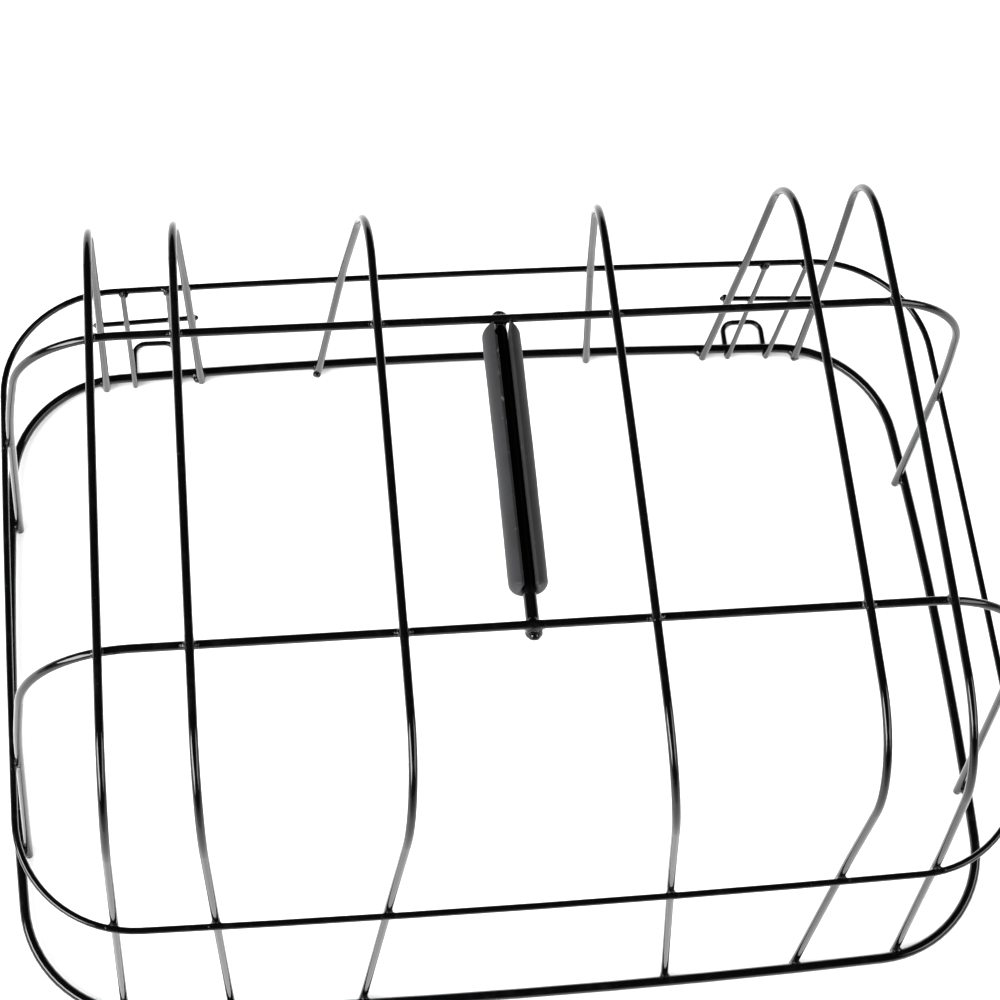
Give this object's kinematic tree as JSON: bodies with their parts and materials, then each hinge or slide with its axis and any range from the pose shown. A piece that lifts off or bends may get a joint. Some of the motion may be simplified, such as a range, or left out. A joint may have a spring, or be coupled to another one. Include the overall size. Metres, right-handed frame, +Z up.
{
  "type": "wire basket",
  "caption": "Black wire basket lying mouth down: bent hoops welded inside a rim and a ring, two hanging loops on the rear wall and a slit grip pushed onto a carrying rod.",
  "frame": {"origin": "on the floor, under the middle of the whole object's bounding box", "axes": "+Z up; +X to the right along the long side; +Y towards the wall with the two hanging loops. The mouth faces down, as in the picture."},
  "size_m": [0.394, 0.3048, 0.1863],
  "materials": {
    "wire": "gloss black powder coat on steel wire",
    "grip": "matte charcoal rubber with light scuffs"
  },
  "bodies": {
    "basket": {"lower_rim": "wire", "mid_ring": "wire", "cross_hoop_rear": "wire", "cross_hoop_front": "wire", "hoop_left_outer": "wire", "hoop_left_inner": "wire", "hoop_centre_left": "wire", "hoop_centre_right": "wire", "hoop_right_inner": "wire", "hoop_right_outer": "wire", "hanger_left": "wire", "hanger_right": "wire", "short_bar_left": "wire", "short_bar_right": "wire", "handle_rod": "wire"},
    "grip": {"handle_grip": "grip"}
  },
  "joints": [
    {"name": "grip_slide", "type": "slide", "parent": "basket", "child": "grip", "axis": [0, 1, 0], "range_m": [-0.0117, 0]}
  ]
}
